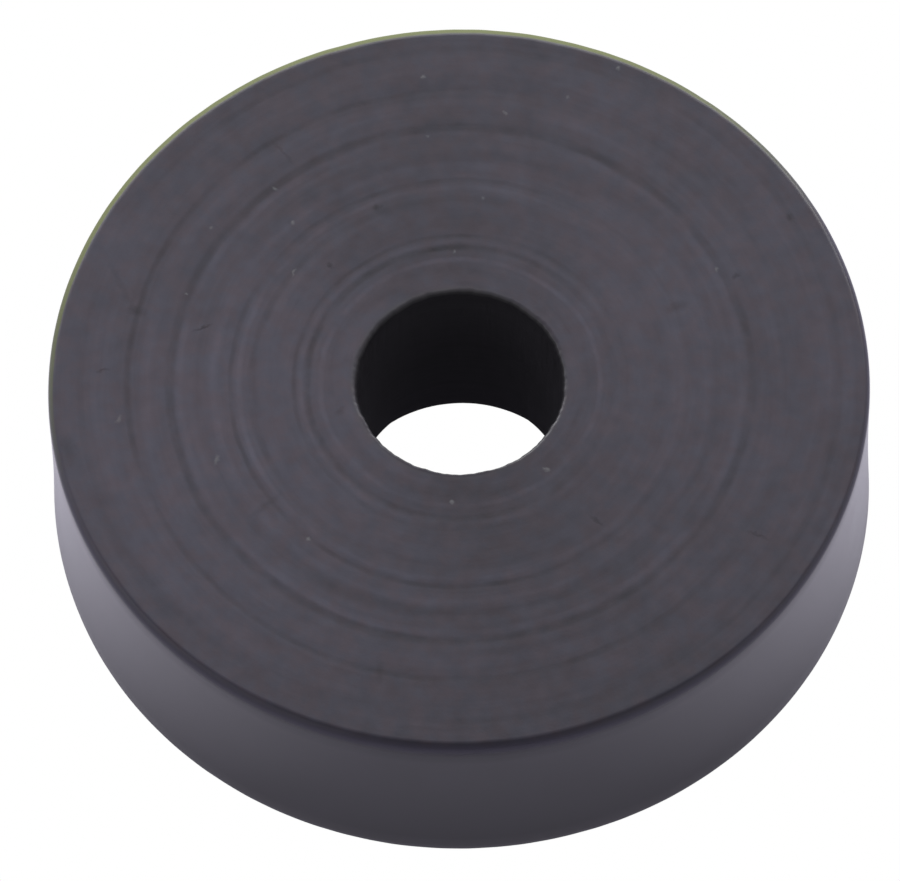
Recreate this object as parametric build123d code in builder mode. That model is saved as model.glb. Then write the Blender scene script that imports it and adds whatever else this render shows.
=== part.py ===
"""Tap washer: a flat rubber seating disc with a bore for the jumper's pin.

Millimetres, +Z up. The axis of the bore is the Z axis, and the lower face lies on Z = 0.
The washer is cut as a slice from a rod of hard black rubber, so it is one solid. The knife
scores shallow rings into both faces. Tumbling afterwards wears the rims blunt and just takes the
sharpness off the bore.
"""
from build123d import *
import os

# Overall sizes
outer_diameter = 19.0
thickness = 5.3
bore_diameter = 4.7

# Rounds that tumbling leaves
rim_round = 0.28
bore_round = 0.07

# Knife rings: V-shaped scores let into the flat land of each face
ring_width = 0.24
ring_depth = 0.02
# Where each ring lies across the land, from 0 at the bore's round to 1 at the rim's round
ring_places = (0.175, 0.27, 0.415, 0.51, 0.62, 0.765)

# Worked out from the sizes above
outer_radius = outer_diameter / 2
bore_radius = bore_diameter / 2
land_start = bore_radius + bore_round
land_end = outer_radius - rim_round
ring_radii = [land_start + place * (land_end - land_start) for place in ring_places]

os.makedirs("parts", exist_ok=True)

with BuildPart() as washer:
    # Half section, from the bore's wall out to the rim
    with BuildSketch(Plane.XZ) as section:
        with Locations((bore_radius, 0)):
            Rectangle(outer_radius - bore_radius, thickness, align=(Align.MIN, Align.MIN))
        rim_corners = section.vertices().group_by(Axis.X)[-1]
        fillet(rim_corners, rim_round)
        bore_corners = section.vertices().group_by(Axis.X)[0]
        fillet(bore_corners, bore_round)
        # A diamond centred on the face line cuts one V, the same on the upper and the lower face
        for radius in ring_radii:
            with Locations((radius, thickness), (radius, 0)):
                Polygon(
                    (-ring_width / 2, 0),
                    (0, -ring_depth),
                    (ring_width / 2, 0),
                    (0, ring_depth),
                    mode=Mode.SUBTRACT,
                )
    revolve(axis=Axis.Z)

washer.part.label = "washer"
export_step(washer.part, "parts/washer.step")

size = washer.part.bounding_box().size
print("washer", round(size.X, 3), round(size.Y, 3), round(size.Z, 3), "mm")
print("volume", round(washer.part.volume, 2), "mm3, solids", len(washer.part.solids()))
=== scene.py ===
# %% [markdown]
# # A rubber tap washer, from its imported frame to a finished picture
#
# A tap washer is a small disc of hard black rubber. It is cut as a slice from a rod, so its two
# faces carry the knife's rings, and its wall keeps the smooth skin of the rod. This lesson builds
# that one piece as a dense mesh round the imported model, gives each kind of surface its own finish,
# and lights it softly from above and behind.
#
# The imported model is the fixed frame. The main sizes are read from it and written nowhere else.

# %% Load the frame
import math

import bpy
import numpy as np
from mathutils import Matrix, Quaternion, Vector


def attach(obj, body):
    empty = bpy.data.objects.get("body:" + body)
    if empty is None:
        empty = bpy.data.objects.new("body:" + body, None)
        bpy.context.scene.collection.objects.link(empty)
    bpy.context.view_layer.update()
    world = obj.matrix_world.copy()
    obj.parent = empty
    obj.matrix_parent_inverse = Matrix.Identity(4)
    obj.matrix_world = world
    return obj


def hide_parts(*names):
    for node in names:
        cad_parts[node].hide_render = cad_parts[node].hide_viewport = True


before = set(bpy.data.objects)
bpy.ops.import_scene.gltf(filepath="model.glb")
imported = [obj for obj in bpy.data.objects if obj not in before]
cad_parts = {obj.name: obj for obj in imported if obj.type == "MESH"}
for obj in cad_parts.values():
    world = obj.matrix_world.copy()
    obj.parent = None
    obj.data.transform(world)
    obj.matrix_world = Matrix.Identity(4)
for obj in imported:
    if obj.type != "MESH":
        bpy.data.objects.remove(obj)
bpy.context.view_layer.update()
MM = 0.001

# %% [markdown]
# ## Sizes
#
# The washer is round, so five numbers hold its whole form: the outer radius, the bore's radius, the
# thickness, and the small rounds that tumbling leaves on the rim and at the bore. The vertices of
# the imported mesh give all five. The wall is straight between its two rounds, so the highest vertex
# on the outermost circle tells how tall the round above it is.

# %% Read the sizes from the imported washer
corners = np.array([vertex.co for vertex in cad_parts["washer"].data.vertices])
reach = np.hypot(corners[:, 0], corners[:, 1])
outer_radius = reach.max()
bore_radius = reach.min()
thickness = corners[:, 2].max()
touching = 0.0001 * MM
rim_round = thickness - corners[reach > outer_radius - touching, 2].max()
bore_round = thickness - corners[reach < bore_radius + touching, 2].max()
print("outer radius", round(outer_radius / MM, 3), "bore radius", round(bore_radius / MM, 3))
print("thickness", round(thickness / MM, 3), "rim round", round(rim_round / MM, 3),
      "bore round", round(bore_round / MM, 3))

# %% [markdown]
# ## The camera
#
# A small part is best taken from well back with a long lens, which keeps its circles true. The
# camera stands about half a metre off and looks steeply down, so that the upper face fills the
# frame and the front of the wall still shows. A 100 mm lens on a small sensor crop does this in
# Blender. The camera leans by a degree and a half, and its aim lies just left of the middle.

# %% Place the camera
camera_distance = 482.8 * MM
camera_elevation = math.radians(62.23)
camera_roll = math.radians(-1.57)
aim_right = -0.24 * MM
aim_up = -0.083 * MM

middle = Vector((0, 0, thickness / 2))
backward = Vector((0, -math.cos(camera_elevation), math.sin(camera_elevation)))
rightward = Vector((1, 0, 0))
upward = backward.cross(rightward)
aim = middle + rightward * aim_right + upward * aim_up

camera_data = bpy.data.cameras.new("camera")
camera_data.lens = 100
camera_data.sensor_width = 4.328
camera_data.clip_start = 0.05
camera_data.clip_end = 20
camera = bpy.data.objects.new("camera", camera_data)
bpy.context.scene.collection.objects.link(camera)
camera.location = middle + backward * camera_distance
camera.rotation_mode = "QUATERNION"
look = (camera.location - aim).to_track_quat("Z", "Y")
camera.rotation_quaternion = look @ Quaternion((0, 0, 1), camera_roll)
bpy.context.scene.camera = camera
print("camera at, mm:", [round(place / MM, 1) for place in camera.location])

# %% [markdown]
# ## The floor and the white sweep
#
# In a catalogue picture a small black part sits on white with no shadow round it, because the
# paper is lit until it burns out. The rubber itself still stands on an ordinary floor: its wall
# mirrors the shaded strip of floor beside it, and its bore is dark because little light gets
# under it. One surface can't be both, so there are two. The floor is plain pale paper that lights
# the washer and hides from the camera. The sweep is a bright bowl round everything that only the
# camera sees. Neither belongs to the object, so both are staged.

# %% A plain pale floor and a white sweep
def disc_of(name, outline, height):
    """A flat polygon through the points of an outline, at one height."""
    mesh = bpy.data.meshes.new(name)
    mesh.from_pydata([(x, y, height) for x, y in outline], [], [list(range(len(outline)))])
    made = bpy.data.objects.new(name, mesh)
    bpy.context.scene.collection.objects.link(made)
    return made


def circle(radius, count):
    """Points evenly spaced round a circle."""
    turns = [2 * math.pi * step / count for step in range(count)]
    return [(radius * math.cos(turn), radius * math.sin(turn)) for turn in turns]


def glowing(name, strength):
    """A surface that shines plain white and takes no light."""
    made = bpy.data.materials.new(name)
    made.use_nodes = True
    nodes = made.node_tree.nodes
    nodes.clear()
    glow = nodes.new("ShaderNodeEmission")
    glow.inputs["Strength"].default_value = strength
    output = nodes.new("ShaderNodeOutputMaterial")
    made.node_tree.links.new(glow.outputs[0], output.inputs["Surface"])
    return made


floor_drop = 0.005 * MM
floor_radius = 1.5
sweep_radius = 3
floor = disc_of("floor", circle(floor_radius, 96), -floor_drop)
paper = bpy.data.materials.new("pale_paper")
paper.use_nodes = True
paper_shader = paper.node_tree.nodes["Principled BSDF"]
paper_shader.inputs["Base Color"].default_value = (0.80, 0.77, 0.90, 1)
paper_shader.inputs["Roughness"].default_value = 0.9
floor.data.materials.append(paper)
floor.visible_camera = False

bpy.ops.mesh.primitive_uv_sphere_add(segments=32, ring_count=16, radius=sweep_radius)
sweep = bpy.context.object
sweep.name = "sweep"
sweep.data.materials.append(glowing("burnt_out_white", 1.0))
for seen_by in ("diffuse", "glossy", "transmission", "volume_scatter", "shadow"):
    setattr(sweep, "visible_" + seen_by, False)
print("floor at, mm:", -floor_drop / MM, "sweep radius, m:", sweep_radius)

# %% [markdown]
# ## Soft studio light
#
# Large softboxes surround the washer above, behind and at both sides. The side towards the camera
# stays dim. That is what draws the dark line along the front of the rim: the round there faces the
# camera's side of the room, and has little to mirror. A weak light overhead keeps the start of that
# line soft. The room itself gives a weak, even light, so that no surface falls to pure black.

# %% Softboxes
def softbox(name, place, size, power):
    """A rectangular area light that faces the washer."""
    data = bpy.data.lights.new(name, "AREA")
    data.shape = "RECTANGLE"
    data.size, data.size_y = size
    data.energy = power
    made = bpy.data.objects.new(name, data)
    bpy.context.scene.collection.objects.link(made)
    made.location = place
    made.rotation_mode = "QUATERNION"
    made.rotation_quaternion = (made.location - middle).to_track_quat("Z", "Y")
    made.visible_camera = False
    return made


softbox("light_back", (0, 1.0, 0.5), (1.6, 0.8), 22.3)
softbox("light_top", (0, -0.05, 1.0), (1.2, 1.2), 1.2)
softbox("light_left", (-1.0, 0.1, 0.45), (1.2, 0.8), 2.85)
softbox("light_right", (1.0, 0.1, 0.45), (1.2, 0.8), 2.1)
softbox("light_front_left", (-0.75, -0.75, 0.35), (0.8, 0.6), 0.8)
softbox("light_front_right", (0.75, -0.75, 0.35), (0.8, 0.6), 0.75)
softbox("light_front", (0, -1.1, 0.4), (0.9, 0.6), 0.15)

world = bpy.data.worlds.new("room")
bpy.context.scene.world = world
world.use_nodes = True
room = world.node_tree.nodes["Background"]
room.inputs["Color"].default_value = (1, 1, 1, 1)
room.inputs["Strength"].default_value = 0.3
bpy.context.scene.view_settings.view_transform = "Standard"

# %% [markdown]
# ## Where the knife went
#
# A parting knife cuts the washer off the turning rod. Each small stop and start of its feed leaves
# a ring on the face, a dark trough or a pale polished band. The rings could be one wave repeated,
# but real ones differ in width and strength, and each shows on one side of the washer more than on
# the other. So each ring is a row of its own: its radius as a share of the washer's, its half
# width in mm, its strength, the angle where it shows most, and how much of it fades opposite. The
# mesh and the finish below both read these rows, so relief and colour always fall together.

# %% The rings, as rows of radius share, half width, strength, strongest angle and fade
dark_rings = (
    (0.925, 0.13, 0.35, 60, 0.5),
    (0.811, 0.12, 0.85, 190, 0.7),
    (0.708, 0.16, 0.90, 190, 0.3),
    (0.635, 0.22, 0.45, 240, 0.5),
    (0.560, 0.10, 0.90, 190, 0.8),
    (0.508, 0.14, 0.60, 170, 0.9),
    (0.406, 0.08, 0.65, 160, 0.9),
    (0.373, 0.12, 0.95, 165, 0.7),
    (0.313, 0.26, 0.30, 210, 0.3),
)
pale_bands = (
    (0.880, 0.30, 0.30, 180, 0.5),
    (0.770, 0.26, 0.50, 140, 0.6),
    (0.686, 0.14, 0.80, 200, 0.3),
    (0.602, 0.16, 0.70, 180, 0.8),
    (0.570, 1.60, 0.34, 160, 0.4),
    (0.539, 0.10, 0.85, 180, 0.8),
    (0.390, 0.08, 0.60, 180, 0.8),
    (0.340, 0.10, 0.95, 70, 0.5),
)


def wander(angle, sine):
    """How far a ring lies outside its true circle at an angle, in mm; sine is the sine to use."""
    return (0.035 * sine(angle + 0.8) + 0.010 * sine(3 * angle + 1.1)
            + 0.006 * sine(7 * angle + 2.6))


def showing(ring, right, back):
    """How strongly a ring shows in the direction (right, back), a unit vector from the middle."""
    strength, strongest, fade = ring[2], math.radians(ring[3]), ring[4]
    facing = right * math.cos(strongest) + back * math.sin(strongest)
    return strength * (1 - fade / 2) + strength * fade / 2 * facing


print("dark rings:", len(dark_rings), "pale bands:", len(pale_bands))

# %% [markdown]
# ## Relief
#
# The rings are a few thousandths of a millimetre deep, and the land between them isn't quite flat.
# A bump in the material could fake this, but real height also catches the light at a low angle and
# stays in the mesh. The relief is a formula, so it can be asked for at any vertex. It
# never rises above the face, so the washer keeps its thickness.

# %% Depth of the cut below the face
ring_depth = 0.0016
wave_depth = 0.001
wave_count = 8
chance = np.random.default_rng(19)
# Each wave of the land: its length in mm, where it starts, and how many times it turns round the axis
waves = [(chance.uniform(0.55, 2.4), chance.uniform(0, 6.28), chance.integers(0, 4))
         for wave in range(wave_count)]


def cut_depth(radius, angle):
    """How far the cut lies below the face, in mm, from the radius in mm and the angle."""
    depth = np.zeros(np.broadcast(radius, angle).shape)
    for ring in dark_rings:
        away = (radius - ring[0] * outer_radius / MM) / ring[1]
        trough = np.maximum(1 - away**2, 0) ** 2
        depth += ring_depth * trough * showing(ring, np.cos(angle), np.sin(angle))
    for length, start, turns in waves:
        wave = np.sin(2 * math.pi * radius / length + start + turns * angle)
        depth += wave_depth * (1 + wave) / wave_count * 2
    return depth


print("deepest cut, mm:", round(float(cut_depth(np.linspace(3, 9, 600)[:, None],
                                                np.linspace(0, 6.28, 90)).max()), 4))

# %% [markdown]
# ## Rows of the section
#
# The washer is turned, so its mesh is a section carried round the axis. A Screw or Spin modifier
# would give a perfect turning. Here each row of the section is an array instead, one value for each
# angle, so that a row may wander with its ring and the worn rounds may vary along the rim.
#
# The worn rim isn't an arc. It bends quickly where the face ends, holds one lean about half way, and
# runs out slowly into the wall. A Bevel modifier gives one radius, so the rim is a run of short
# flats instead, each with its own lean, which smooth shading joins into one curve. The flats have
# one set of lengths behind and another in front, where the wear starts nearer to the edge.

# %% The flats of the worn rim
segments = 512
turn = np.linspace(0, 2 * math.pi, segments, endpoint=False)
across, behind = np.cos(turn), np.sin(turn)
# The worn rim as short flats from the face to the wall: each one's lean, then its share of the
# round behind and in front
rim_flats = ((6, 0.17, 0.13), (15, 0.13, 0.07), (24, 0.08, 0.05), (33, 0.15, 0.06),
             (42, 0.15, 0.13), (46, 0.16, 0.15), (54, 0.16, 0.27), (62, 0.18, 0.15),
             (68, 0.20, 0.16), (73, 0.21, 0.18), (77, 0.18, 0.18), (83, 0.42, 0.54))
rim_out, rim_down = [(0, 0)], [(0, 0)]
for lean, *lengths in rim_flats:
    lean = math.radians(lean)
    steps = [length * rim_round / MM for length in lengths]
    rim_out.append([last + step * math.cos(lean) for last, step in zip(rim_out[-1], steps)])
    rim_down.append([last + step * math.sin(lean) for last, step in zip(rim_down[-1], steps)])
rim_inset, rim_drop = rim_out[-1], rim_down[-1]
print("worn rim behind and in front, mm in:", [round(inset, 3) for inset in rim_inset],
      "down:", [round(drop, 3) for drop in rim_drop])


def rim_wear(right, back):
    """How large the rim's wear is in the direction (right, back): most behind and in front."""
    return 0.74 + 0.21 * (back * back - right * right) + 0.10 * back - 0.07 * right


def on_the_rim(pair, back):
    """A size of the rim in the direction back, from its value behind to its value in front."""
    return pair[0] + (pair[1] - pair[0]) * 0.25 * (1 - back) * (1 - back)


def nibbled(share, seed, counts=(3, 5, 8, 13, 21, 34, 47, 62, 80, 99)):
    """A factor about 1 for each angle: how much larger or smaller the wear is there."""
    draw = np.random.default_rng(seed)
    nibbles = 0
    for count in counts:
        nibbles += np.sin(count * turn + draw.uniform(0, 6.28)) / math.sqrt(count)
    return 1 + share * nibbles / 2


wear_round = rim_wear(across, behind)
upper_size = wear_round * nibbled(share=0.10, seed=3)
lower_size = wear_round * nibbled(share=0.08, seed=4)
print("wear of the upper rim, least and most:", upper_size.min().round(2), upper_size.max().round(2))

# %% [markdown]
# ## Rows across the land
#
# The land is the flat of a face between its two rounds. Evenly spaced rows would need to be very
# many before one fell in every ring. Here five rows belong to each dark ring, and the plain rubber
# between is split evenly. The land stops short of the largest rim and the largest mouth, so that no
# row crosses another. The underside is hardly seen, so its rows stand further apart.

# %% Radii across the land
rim_reach = 1.45 * rim_inset[0]
bore_reach = 3.5 * bore_round / MM


def land_radii(plain_gap):
    """Radii across the land in mm, from the rim inwards, at most plain_gap apart."""
    stops = {bore_radius / MM + bore_reach, outer_radius / MM - rim_reach}
    for ring in dark_rings:
        stops.update(ring[0] * outer_radius / MM + part * ring[1] for part in (-1, -0.5, 0, 0.5, 1))
    stops = sorted(stops)
    radii = []
    for start, end in zip(stops, stops[1:]):
        count = math.ceil((end - start) / plain_gap)
        radii += [start + (end - start) * part / count for part in range(count)]
    return radii[:0:-1]


upper_radii = land_radii(plain_gap=0.15)
lower_radii = land_radii(plain_gap=0.24)
print("rows on the upper land:", len(upper_radii), "on the lower land:", len(lower_radii))

# %% [markdown]
# ## One cut face
#
# Each row carries the number of its finish, so that the strips of the mesh can be dressed later. A
# ring wanders by its full amount in the middle of the land only. Towards the rim and the bore the
# wander fades out, because both were made true to the axis. Smooth shading would carry the rounds'
# shading on to the flat land, so a flat guard row stands beside each round and holds it back.

# %% Rows across one cut face
FACE, WALL, BORE = 0, 1, 2
# How far in mm a guard row stands off, and over how many mm the wander fades
guard = 0.02
fading = 0.5
# The wall's finish starts at this share of the rim's drop, and the bore's at this lean of its round
wall_starts = 0.4
bore_starts = 0.28 * math.pi
bore_steps = 5


def cut_face(radii, rim_size, mouth, turned):
    """Rows of (radius, depth, finish) in mm, from the wall to the bore."""
    rows = []
    angle = turn + turned
    mouth_radius, mouth_size = mouth
    inset, drop = on_the_rim(rim_inset, behind), on_the_rim(rim_drop, behind)
    for outs, downs in zip(rim_out[::-1], rim_down[::-1]):
        down = on_the_rim(downs, behind)
        radius = outer_radius / MM - (inset - on_the_rim(outs, behind)) * rim_size
        cut = cut_depth(radii[0], angle) * (1 - down / drop)
        finish = WALL if downs[0] > wall_starts * rim_drop[0] else FACE
        rows.append((radius, down * rim_size + cut, finish))
    rows.append((outer_radius / MM - inset * rim_size - guard, cut_depth(radii[0], angle), FACE))
    for radius in radii:
        room = min((radius - radii[-1]) / fading, (radii[0] - radius) / fading, 1)
        rows.append((radius + room * wander(angle, np.sin), cut_depth(radius, angle), FACE))
    rows.append((mouth_radius + mouth_size + guard, cut_depth(radii[-1], angle), FACE))
    for lean in np.linspace(0, math.pi / 2, bore_steps + 1):
        radius = mouth_radius + mouth_size * (1 - math.sin(lean))
        cut = cut_depth(radii[-1], angle) * math.cos(lean)
        finish = BORE if lean > bore_starts else FACE
        rows.append((radius, mouth_size * (1 - math.cos(lean)) + cut, finish))
    return rows


print("rows on the worn rim:", len(rim_flats) + 1, "round the bore's mouth:", bore_steps + 1)

# %% [markdown]
# ## The mouths of the bore
#
# The bore is drilled in soft rubber, so neither mouth is a true circle. The upper one has pulled
# slightly oval and to the right, and its edge is a little ragged. Its front is still sharp, while
# its back and sides are worn. A lip of torn rubber hangs in the lower one on the far side, where
# the drill broke through. Each mouth is a radius and the size of its round, both with one value
# for each angle.

# %% Shape the two mouths
upper_flare, upper_oval, upper_pull = 0.020, 0.010, 0.030
lower_flare, lower_oval, lower_pull = 0.034, 0.021, -0.020
raggedness = 0.035
torn_lip = 0.113
lip_starts = 0.74
ragged_edge = raggedness * (nibbled(share=1, seed=7, counts=(9, 14, 23, 31, 44, 63, 82)) - 1)
lip = np.clip((behind - lip_starts) / (1 - lip_starts), 0, 1)
upper_mouth = (bore_radius / MM + upper_flare + upper_oval * np.cos(2 * turn) + upper_pull * across
               + ragged_edge,
               bore_round / MM * (1.15 + 0.55 * behind + 0.60 * across**2)
               * nibbled(share=0.3, seed=5))
lower_mouth = (bore_radius / MM + lower_flare + lower_oval * np.cos(2 * turn) + lower_pull * across
               - torn_lip * lip,
               bore_round / MM * nibbled(share=0.15, seed=6))
print("upper mouth, mm across:", (2 * upper_mouth[0].min()).round(2), "to",
      (2 * upper_mouth[0].max()).round(2))

# %% [markdown]
# ## The whole section
#
# The two cut faces are joined by the wall outside and the bore inside. The wall keeps the skin of
# the extruded rod, and is drawn in a little at its waist, because rubber spreads under the knife at
# both ends. The bore swells a little half way down and eases into both mouths.

# %% Wall and bore rows
skin_waver = 0.004
wall_waist = 0.030
bore_belly = 0.012
rows_between = 11
lower_turned = 2.2


def down_the_bore(upper, lower):
    """Rows between the two mouths of the bore, upper one first."""
    rows = []
    for share in np.linspace(0, 1, rows_between + 2)[1:-1]:
        height = (1 - share) * (thickness / MM - upper[1]) + share * lower[1]
        belly = bore_belly * math.sin(math.pi * share) * (1 + np.sin(3 * turn + 0.5) / 2)
        radius = (1 - share) ** 2 * upper[0] + (1 - (1 - share) ** 2 - share**6) * bore_radius / MM
        rows.append((radius + share**6 * lower[0] + belly, height, BORE))
    return rows


def up_the_wall():
    """Rows between the two worn rims, lower one first."""
    rows = []
    drop = on_the_rim(rim_drop, behind)
    for share in np.linspace(0, 1, rows_between + 2)[1:-1]:
        height = (1 - share) * drop * lower_size + share * (thickness / MM - drop * upper_size)
        swell = np.sin(2 * turn + 1.3) + np.sin(5 * turn + 4 * share) + np.sin(9 * turn - 2 * share)
        drawn_in = wall_waist + skin_waver * (1 - swell / 3)
        rows.append((outer_radius / MM - drawn_in * math.sin(math.pi * share), height, WALL))
    return rows


upper_face = cut_face(upper_radii, upper_size, upper_mouth, 0)
lower_face = cut_face(lower_radii, lower_size, lower_mouth, lower_turned)

section = [(radius, thickness / MM - depth, finish) for radius, depth, finish in upper_face]
section += down_the_bore(upper_mouth, lower_mouth)
section += lower_face[::-1]
section += up_the_wall()
print("rows in the section:", len(section))

# %% Carry the section round the axis
def lathe(name, rows):
    """A closed ring of quads through rows of (radius, height, finish) in mm."""
    radii = np.stack([np.broadcast_to(row[0], segments) for row in rows]) * MM
    heights = np.stack([np.broadcast_to(row[1], segments) for row in rows]) * MM
    points = np.stack([radii * across, radii * behind, heights], axis=-1)
    here = np.arange(len(rows) * segments).reshape(len(rows), segments)
    along = np.roll(here, -1, axis=1)
    down = np.roll(here, -1, axis=0)
    quads = np.stack([here, along, np.roll(down, -1, axis=1), down], axis=-1)
    mesh = bpy.data.meshes.new(name)
    mesh.from_pydata(points.reshape(-1, 3).tolist(), [], quads.reshape(-1, 4).tolist())
    mesh.polygons.foreach_set("use_smooth", [True] * len(mesh.polygons))
    made = bpy.data.objects.new(name, mesh)
    bpy.context.scene.collection.objects.link(made)
    return made


washer = lathe("tap_washer", section)
highest = max(washer.data.polygons, key=lambda quad: quad.center.z)
print("triangles:", 2 * len(washer.data.polygons))
print("the highest quad faces up by:", round(highest.normal.z, 3))

# %% [markdown]
# ## Shader arithmetic
#
# The finish is mostly arithmetic on the place in the rubber: its radius, its angle, its height.
# Wired by hand that is hundreds of Math nodes. A small class lets it be written as expressions
# instead. A Wire stands for what comes out of a node, and adding or multiplying wires adds the
# Math node that does it. Every other node comes from one method that sets it up and wires it.

# %% Wires and finishes
class Wire:
    """What comes out of a shader node."""

    def __init__(self, finish, socket):
        self.finish = finish
        self.socket = socket

    def math(self, operation, *values):
        return self.finish.node("ShaderNodeMath", {"operation": operation}, dict(enumerate(values)))

    def __add__(self, other):
        return self.math("ADD", self, other)

    def __sub__(self, other):
        return self.math("SUBTRACT", self, other)

    def __rsub__(self, other):
        return self.math("SUBTRACT", other, self)

    def __mul__(self, other):
        return self.math("MULTIPLY", self, other)

    def __truediv__(self, other):
        return self.math("DIVIDE", self, other)

    def __abs__(self):
        return self.math("ABSOLUTE", self)

    __radd__ = __add__
    __rmul__ = __mul__

    def sine(self):
        return self.math("SINE", self)

    def root(self):
        return self.math("SQRT", self)

    def at_least(self, least):
        return self.math("MAXIMUM", self, least)

    def outlet(self, name):
        """Another output of the same node."""
        return Wire(self.finish, self.socket.node.outputs[name])

    def ease(self, start, end):
        """Rises smoothly from 0 at start to 1 at end, whichever of them is the larger."""
        return self.finish.node("ShaderNodeMapRange", {"interpolation_type": "SMOOTHSTEP"},
                                {"Value": self, "From Min": start, "From Max": end})


class Finish:
    """The node tree of one material."""

    def __init__(self, name):
        self.material = bpy.data.materials.new(name)
        self.material.use_nodes = True
        self.tree = self.material.node_tree
        self.tree.nodes.clear()

    def node(self, kind, settings, sockets, output=0):
        """Add a node: its settings first, then a value or a wire for each socket."""
        made = self.tree.nodes.new(kind)
        for name, value in settings.items():
            setattr(made, name, value)
        for name, value in sockets.items():
            if isinstance(value, Wire):
                self.tree.links.new(value.socket, made.inputs[name])
            else:
                made.inputs[name].default_value = value
        return Wire(self, made.outputs[output]) if made.outputs else made

    def point(self, x, y, z):
        """A vector from three values or wires."""
        return self.node("ShaderNodeCombineXYZ", {}, {"X": x, "Y": y, "Z": z})

    def noise(self, place, scale, detail=2.0, roughness=0.5, output="Fac"):
        """Smooth random values about 0.5 that change over a place."""
        return self.node("ShaderNodeTexNoise", {}, {"Vector": place, "Scale": scale,
                                                    "Detail": detail, "Roughness": roughness}, output)

    def blend(self, amount, first, second):
        """A colour between two colours."""
        return self.node("ShaderNodeMix", {"data_type": "RGBA"}, {0: amount, 6: first, 7: second}, 2)

    def shade(self, colour, tone):
        """A colour made lighter or darker by a tone about 1."""
        return self.node("ShaderNodeVectorMath", {"operation": "SCALE"}, {0: colour, "Scale": tone})


print("shader helpers are ready")

# %% [markdown]
# ## Where a point lies on the washer
#
# Everything in the finishes follows from a few measures of a point, in mm: its distance from the
# axis, its direction from the middle, its height, and how far it has turned over the rim from the
# face to the wall. The direction is kept as two parts of a unit vector, so that noise laid along
# it closes up neatly after a full turn. The radius of the cut takes away the wander, so that it
# follows the rings.

# %% Measures of a point
class Place:
    """Where the shaded point lies on the washer, in mm, as wires of one finish."""

    def __init__(self, finish):
        self.finish = finish
        place = finish.node("ShaderNodeTexCoord", {}, {}, "Object")
        self.point = finish.node("ShaderNodeVectorMath", {"operation": "SCALE"},
                                 {0: place, "Scale": 1 / MM})
        parts = finish.node("ShaderNodeSeparateXYZ", {}, {0: self.point})
        self.x, self.y, self.height = parts.outlet("X"), parts.outlet("Y"), parts.outlet("Z")
        self.radius = (self.x * self.x + self.y * self.y).root()
        self.right = self.x / self.radius
        self.back = self.y / self.radius
        # Noise has a grid of its own, which is turned here so that it never lines up with a face
        self.grain = finish.node("ShaderNodeMapping", {}, {"Vector": self.point,
                                                           "Rotation": (0.7, 0.5, 0.3)})

    def turned_over(self):
        """How far round the worn rim a point lies: 0 on the face, 1 on the wall."""
        wear = rim_wear(self.right, self.back)
        inset = wear * on_the_rim(rim_inset, self.back)
        drop = wear * on_the_rim(rim_drop, self.back)
        outward = (self.radius - outer_radius / MM + inset).at_least(0) / inset
        facing_up = abs(self.height - thickness / 2 / MM) - thickness / 2 / MM + drop
        facing_up = facing_up.at_least(0) / drop
        return outward.math("ARCTAN2", outward, facing_up) / (math.pi / 2)

    def around(self, turns, outward):
        """A place for noise that changes slowly round the axis and quickly outward or upward."""
        return self.finish.point(self.right * turns, self.back * turns, outward)


print("a full turn round the wall, mm:", round(2 * math.pi * outer_radius / MM, 1))

# %% [markdown]
# ## The knife-cut face
#
# A knife drawn through filled rubber leaves a satin surface. Its rings show as dark and pale bands,
# finer lines run between them, and the carbon and clay in the mix give a faint mottle. All of these
# could be painted as an image. Formulas and seeded noise keep them sharp at any distance, and they
# lie where the relief lies. Half of the gloss is a coat, whose weight follows the same tone: pale
# bands are burnished by the knife, and dark ones are torn and dull.

# %% Rings, fine lines and mottle
face = Finish("knife_cut_rubber")
spot = Place(face)
angle = spot.y.math("ARCTAN2", spot.y, spot.x)
waver = face.noise(spot.grain, 0.9, 4, 0.72) - 0.5
cut_radius = spot.radius - wander(angle, Wire.sine) + 0.13 * waver


def rings_at(rings):
    """How strongly the rings of a list show at a point, from 0 to about 1."""
    total = 0
    for ring in rings:
        away = abs(cut_radius - ring[0] * outer_radius / MM)
        total = total + away.ease(ring[1], 0.15 * ring[1]) * showing(ring, spot.right, spot.back)
    return total


patchy = (face.noise(spot.around(4.5, cut_radius * 1.2), 1, 3, 0.6) * 4.5 - 1.25).at_least(0.05)
ring_dark = rings_at(dark_rings) * patchy
ring_pale = rings_at(pale_bands) * patchy
coarse_lines = face.noise(spot.around(1.2, cut_radius * 2.5), 1, 2, 0.6) - 0.5
fine_lines = face.noise(spot.around(2.5, cut_radius * 8), 1, 2, 0.6) - 0.5
mottle = face.noise(spot.grain, 2.6, 2) - 0.5
cloud = face.noise(spot.grain, 0.55, 1) - 0.5
print("nodes for the rings, lines and mottle:", len(face.tree.nodes))

# %% [markdown]
# ## Specks and nicks
#
# A new washer already has a few marks: crumbs of pale dust pressed into the rubber, and dark nicks
# where it was handled. Each mark is a soft ellipse on the upper face: its angle, its radius as a
# share of the washer's, its two half sizes in mm, how far it is turned from the radial line, and
# its strength. Noise shifts the place a little, which makes the ellipses ragged. Modelled crumbs
# would be lost at this size, so the marks are colour and gloss.

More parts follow.
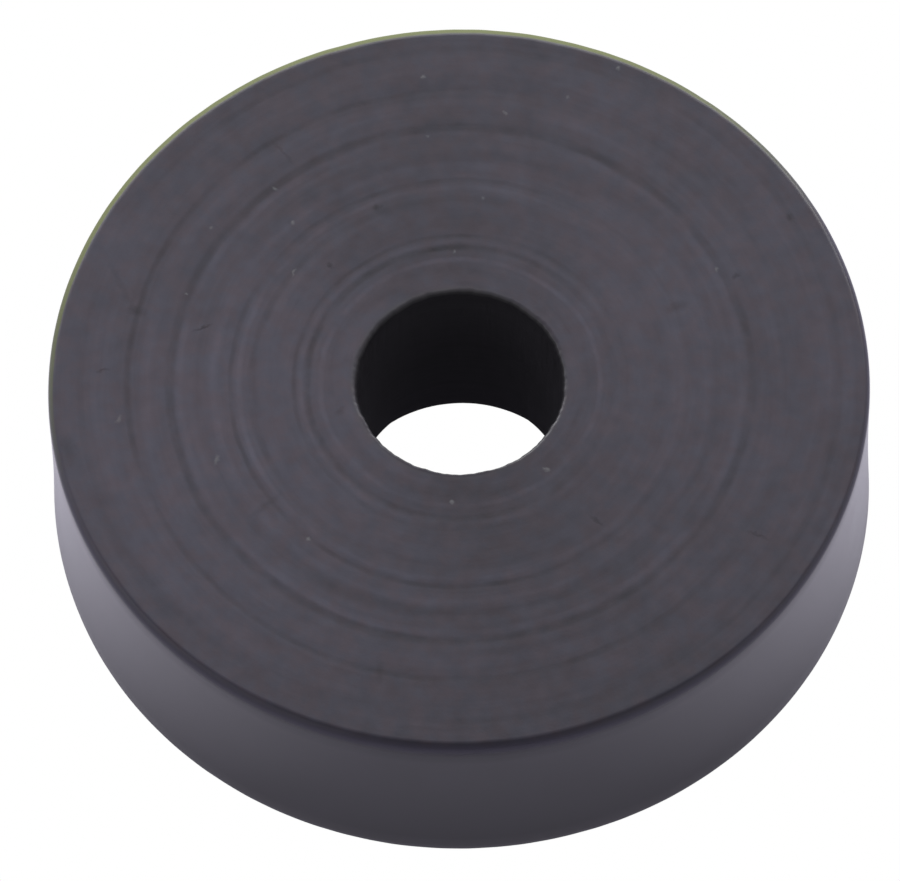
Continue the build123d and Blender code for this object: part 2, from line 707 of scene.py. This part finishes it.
# %% Marks on the upper face
pale_specks = (
    (64.5, 0.955, 0.07, 0.05, 20, 1.0),
    (94.5, 0.855, 0.07, 0.06, 80, 0.9),
    (70, 0.837, 0.05, 0.05, 0, 0.5),
    (80, 0.756, 0.06, 0.04, 40, 0.6),
    (95, 0.689, 0.05, 0.04, 10, 0.5),
    (128.5, 0.703, 0.08, 0.05, 20, 0.8),
    (143, 0.742, 0.05, 0.04, 60, 0.6),
    (158, 0.711, 0.05, 0.04, 30, 0.8),
    (131, 0.604, 0.07, 0.05, 80, 0.9),
    (141, 0.508, 0.12, 0.04, 100, 0.8),
    (198, 0.624, 0.13, 0.05, 60, 0.7),
    (228, 0.559, 0.06, 0.05, 0, 0.9),
    (25, 0.702, 0.10, 0.04, 80, 0.7),
    (266, 0.326, 0.08, 0.07, 0, 1.0),
    (310.5, 0.319, 0.09, 0.06, 30, 0.9),
    (90.5, 0.364, 0.06, 0.05, 0, 0.7),
    (82, 0.516, 0.05, 0.05, 0, 0.5),
    (185, 0.832, 0.11, 0.06, 60, 0.6),
)
dark_nicks = (
    (164.5, 0.644, 0.26, 0.05, 35, 1.0),
    (164, 0.812, 0.24, 0.14, 0, 0.6),
    (160, 0.870, 0.95, 0.09, -47, 0.22),
    (176, 0.868, 0.17, 0.05, 15, 0.7),
    (111, 0.527, 0.13, 0.09, 80, 0.9),
    (132.5, 0.454, 0.11, 0.07, 20, 0.9),
    (22, 0.736, 0.13, 0.07, 10, 0.7),
    (28, 0.927, 0.12, 0.10, 60, 0.8),
    (328.5, 0.837, 0.28, 0.05, 4, 0.7),
    (310, 0.507, 0.22, 0.06, 10, 0.8),
    (122.5, 0.775, 0.50, 0.05, 6, 0.35),
    (255, 0.812, 0.40, 0.10, 12, 0.4),
    (20, 0.572, 0.30, 0.16, 0, 0.5),
    (189, 0.965, 0.22, 0.45, 0, 0.5),
    (214, 0.575, 0.45, 0.10, 5, 0.4),
    (193, 0.298, 0.16, 0.10, 30, 0.45),
)

ragged = face.node("ShaderNodeVectorMath", {"operation": "SUBTRACT"}, {
    0: face.noise(spot.grain, 7, 2, 0.6, "Color"), 1: (0.5, 0.5, 0.5)})
ragged_place = face.node("ShaderNodeVectorMath", {"operation": "MULTIPLY_ADD"}, {
    0: ragged, 1: (0.16, 0.16, 0), 2: spot.point})


def marks_at(marks):
    """How strongly the marks of a list show at a point, from 0 to 1."""
    total = 0
    for turned, share, long, wide, lean, strength in marks:
        facing = math.radians(turned)
        far_out = share * outer_radius / MM
        centre = (far_out * math.cos(facing), far_out * math.sin(facing), thickness / MM)
        away = face.node("ShaderNodeMapping", {"vector_type": "TEXTURE"}, {
            "Vector": ragged_place, "Location": centre, "Scale": (long, wide, 1),
            "Rotation": (0, 0, facing + math.radians(lean))})
        gone = face.node("ShaderNodeVectorMath", {"operation": "LENGTH"}, {0: away}, "Value")
        total = total + gone.ease(1.3, 0.0) * strength
    return total


specks = marks_at(pale_specks)
nicks = marks_at(dark_nicks)
print("marks:", len(pale_specks) + len(dark_nicks), "nodes so far:", len(face.tree.nodes))

# %% [markdown]
# ## Tone of the cut face, with painted light and shade
#
# One tone about 1 gathers the rings, lines and mottle, and both the colour and the coat follow it.
# Painted light and shade add slow changes, in the colour and the coat alike. The face is painted
# palest at the left and darkest in front: paler at its left and right than behind and in front, as
# the glint of its turned grooves, and paler at the left than at the right, as the light falls. It is
# painted darker along the front of the rim, as shade, and paler at both sides of the bore than
# behind and in front of it, again as the grooves' glint. Three more values say where the face gives
# way to something else: over the rim, round the bore, and on the bore's mouth.

# %% Tone, rim and mouth
sideways = spot.right * spot.right
# Painted light: paler at left and right as the turned grooves' glint, paler at the left than the
# right as the light falls
painted_glint_and_light = (0.118 * (0.90 * (sideways - spot.back * spot.back) + 0.87 * spot.right * spot.back)
           - 0.067 * spot.right + 0.019 * spot.back)
# Painted glints: paler at both sides of the bore than behind and in front of it
painted_bore_glints = spot.radius.ease(7.5, 5.0) * (0.065 * sideways - 0.03)
# Painted shade: darker along the front of the rim
painted_front_rim_shade = spot.radius.ease(8.0, 9.1) * (0 - spot.back).at_least(0) * 0.09
# The tone carries the painted light and shade, so the colour and the coat follow them
tone = (1 + painted_glint_and_light + painted_bore_glints - painted_front_rim_shade + 0.35 * mottle + 0.30 * cloud + 0.30 * coarse_lines
        + 0.18 * fine_lines - 0.26 * ring_dark + 0.19 * ring_pale)

over_the_rim = spot.turned_over().ease(0.10, 0.55)
# Counted in rounds of the bore, so that both follow the round's size
from_the_bore = (spot.radius - bore_radius / MM) / (bore_round / MM)
at_the_bore = from_the_bore.ease(3.5, 0.6) * (0.70 + 0.30 * spot.back)
on_the_mouth = from_the_bore.ease(1.8, 0.6)
print("the bore's black starts, mm from its wall:", round(3.5 * bore_round / MM, 3))

# %% [markdown]
# ## A painted highlight on the back of the rim
#
# A pale olive line is painted along the back of the upper rim, a painted highlight that stands in
# for the light a worn edge catches at a low angle. A tint in the base colour would show from every
# side, so the painted highlight is a diffuse layer of its own, mixed in by Layer Weight, and it
# shows only at a low angle. The face and the wall share the rim, so both finishes wear it.

# %% The painted highlight
# The pale olive colour of the painted highlight on the back of the upper rim
painted_sheen_colour = (0.165, 0.183, 0.088, 1)
strongest_painted_sheen = 0.85


def with_painted_sheen(place, shader, amount):
    """Lay a painted highlight over a shader at a place, to show only at a low angle."""
    finish = place.finish
    facing = finish.node("ShaderNodeLayerWeight", {}, {"Blend": 0.5}, "Facing")
    sheen_layer = finish.node("ShaderNodeBsdfDiffuse", {}, {"Color": painted_sheen_colour})
    sheen_side = (place.back * 0.94 - place.right * 0.34).ease(0.0, 0.8)
    upper = (place.height / (thickness / MM)).ease(0.5, 0.9)
    factor = facing.ease(0.14, 0.38) * sheen_side * upper * amount * strongest_painted_sheen
    return finish.node("ShaderNodeMixShader", {}, {0: factor, 1: shader, 2: sheen_layer})


# The bloom printed here is the painted highlight on the rim
print("the bloom hides at most this share of the rubber:", strongest_painted_sheen)

# %% [markdown]
# ## The cut face put together
#
# The colour drifts between a warmer and a cooler black, and the tone lightens and darkens it. Nicks
# and specks come on top. At the rim the face gives way to polished wear, which is darker, and at the
# bore to the drilled wall's plain black. A fine bump adds the tooth of the cut, too small to model.

# %% The finish of the cut face
worn_colour = (0.0100, 0.0070, 0.0230, 1)
worn_gloss = 0.40
bore_colour = (0.0230, 0.0215, 0.0260, 1)

tint = face.blend(face.noise(spot.grain, 2.0, 4, 0.65).ease(0.35, 0.65),
                  (0.0236, 0.0154, 0.0281, 1), (0.0182, 0.0165, 0.0327, 1))
colour = face.shade(tint, tone)
colour = face.blend(nicks * 0.6, colour, (0.003, 0.002, 0.005, 1))
colour = face.blend(specks, colour, (0.08, 0.08, 0.09, 1))
colour = face.blend(over_the_rim, colour, worn_colour)
colour = face.blend(at_the_bore, colour, bore_colour)

burnish = 0.5 * tone * (1 - 0.7 * nicks) * (1 - on_the_mouth)
burnish = burnish + over_the_rim * (0.5 - burnish)
gloss = 0.40 + 0.06 * mottle + 0.06 * fine_lines + 0.15 * nicks
gloss = gloss + over_the_rim * (worn_gloss - gloss)

tooth = face.node("ShaderNodeBump", {}, {"Strength": 1.0, "Distance": 0.0015 * MM,
                                         "Height": face.noise(spot.point, 16, 1)})
shader = face.node("ShaderNodeBsdfPrincipled", {}, {
    "Base Color": colour, "Roughness": gloss, "Coat Weight": burnish, "Normal": tooth,
    "Specular IOR Level": 0.25, "Coat Roughness": 0.40})
# The painted highlight on the back of the upper rim, on the face's side
shader = with_painted_sheen(spot, shader, spot.turned_over().ease(0.03, 0.16))
face.node("ShaderNodeOutputMaterial", {}, {"Surface": shader})
print("nodes in the face's finish:", len(face.tree.nodes))

# %% [markdown]
# ## The wall
#
# The wall keeps the skin of the extruded rod. It is smoother than the cut, so it mirrors the floor
# softly, brighter towards the sides where the light grazes it. It carries a thin bluish bloom and
# faint scuffs along its length, and meets the rim's wear at both edges.

# %% The finish of the wall
wall = Finish("rod_skin_rubber")
spot = Place(wall)
scuffs = wall.noise(spot.around(9, spot.height * 1.1), 1, 3, 0.6) - 0.5
bloom = wall.noise(spot.grain, 0.7, 2)
past_the_rim = spot.turned_over().ease(0.60, 0.95)

colour = wall.blend(bloom, (0.0208, 0.0194, 0.0250, 1), (0.0222, 0.0199, 0.0277, 1))
colour = wall.shade(colour, 0.88 + 0.20 * scuffs + 0.25 * bloom)
colour = wall.blend(past_the_rim, worn_colour, colour)
gloss = 0.20 + 0.05 * scuffs
gloss = worn_gloss + past_the_rim * (gloss - worn_gloss)
skin = wall.node("ShaderNodeBump", {}, {"Strength": 1.0, "Distance": 0.0004 * MM,
                                        "Height": wall.noise(spot.point, 14, 1)})
shader = wall.node("ShaderNodeBsdfPrincipled", {}, {
    "Base Color": colour, "Roughness": gloss, "Coat Weight": 0.15 * past_the_rim, "Normal": skin,
    "Specular IOR Level": 0.5, "Coat Roughness": 0.10})
# The painted highlight on the back of the upper rim, on the wall's side
shader = with_painted_sheen(spot, shader, 1 - past_the_rim)
wall.node("ShaderNodeOutputMaterial", {}, {"Surface": shader})
print("nodes in the wall's finish:", len(wall.tree.nodes))

# %% [markdown]
# ## The bore
#
# The bore is rough from the drill and plain black. Fine rings from the drill's lips run round it.
# Little light reaches its lower end, so the colour there is painted paler than at the mouth, as
# painted light.

# %% The finish of the bore
bore = Finish("drilled_rubber")
spot = Place(bore)
bore_gloss = 0.45
drilled = bore.noise(spot.around(1.5, spot.height * 6), 1, 3, 0.6)
deep = 1 - spot.height / (thickness / MM)
# Painted light: the colour grows paler towards the bore's lower end
colour = bore.shade(bore_colour[:3], (0.58 + 0.50 * drilled) * (1 + 2.0 * deep))
gloss = bore_gloss - 0.05 + 0.10 * drilled
lips = bore.node("ShaderNodeBump", {}, {"Strength": 1.0, "Distance": 0.004 * MM, "Height": drilled})
shader = bore.node("ShaderNodeBsdfPrincipled", {}, {
    "Base Color": colour, "Roughness": gloss, "Normal": lips, "Specular IOR Level": 0.18})
bore.node("ShaderNodeOutputMaterial", {}, {"Surface": shader})
print("nodes in the bore's finish:", len(bore.tree.nodes))

# %% [markdown]
# ## Three finishes on one piece
#
# The washer is one piece, so the three finishes share its mesh, each on its own strips. The face
# and the wall change over on the worn rim, where both have the same polished black, and the face
# and the bore change over on the bore's small round. A strip lies between two rows, and takes the
# finish with the higher number of the two.

# %% Lay the finishes on their strips
for finish in (face, wall, bore):
    washer.data.materials.append(finish.material)

row_finish = np.array([row[2] for row in section])
strip_finish = np.maximum(row_finish, np.roll(row_finish, -1))
washer.data.polygons.foreach_set("material_index", strip_finish.repeat(segments))
print("strips on the faces, wall and bore:", np.bincount(strip_finish).tolist())

# %% Hand the washer over
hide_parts("washer")
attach(washer, "root")
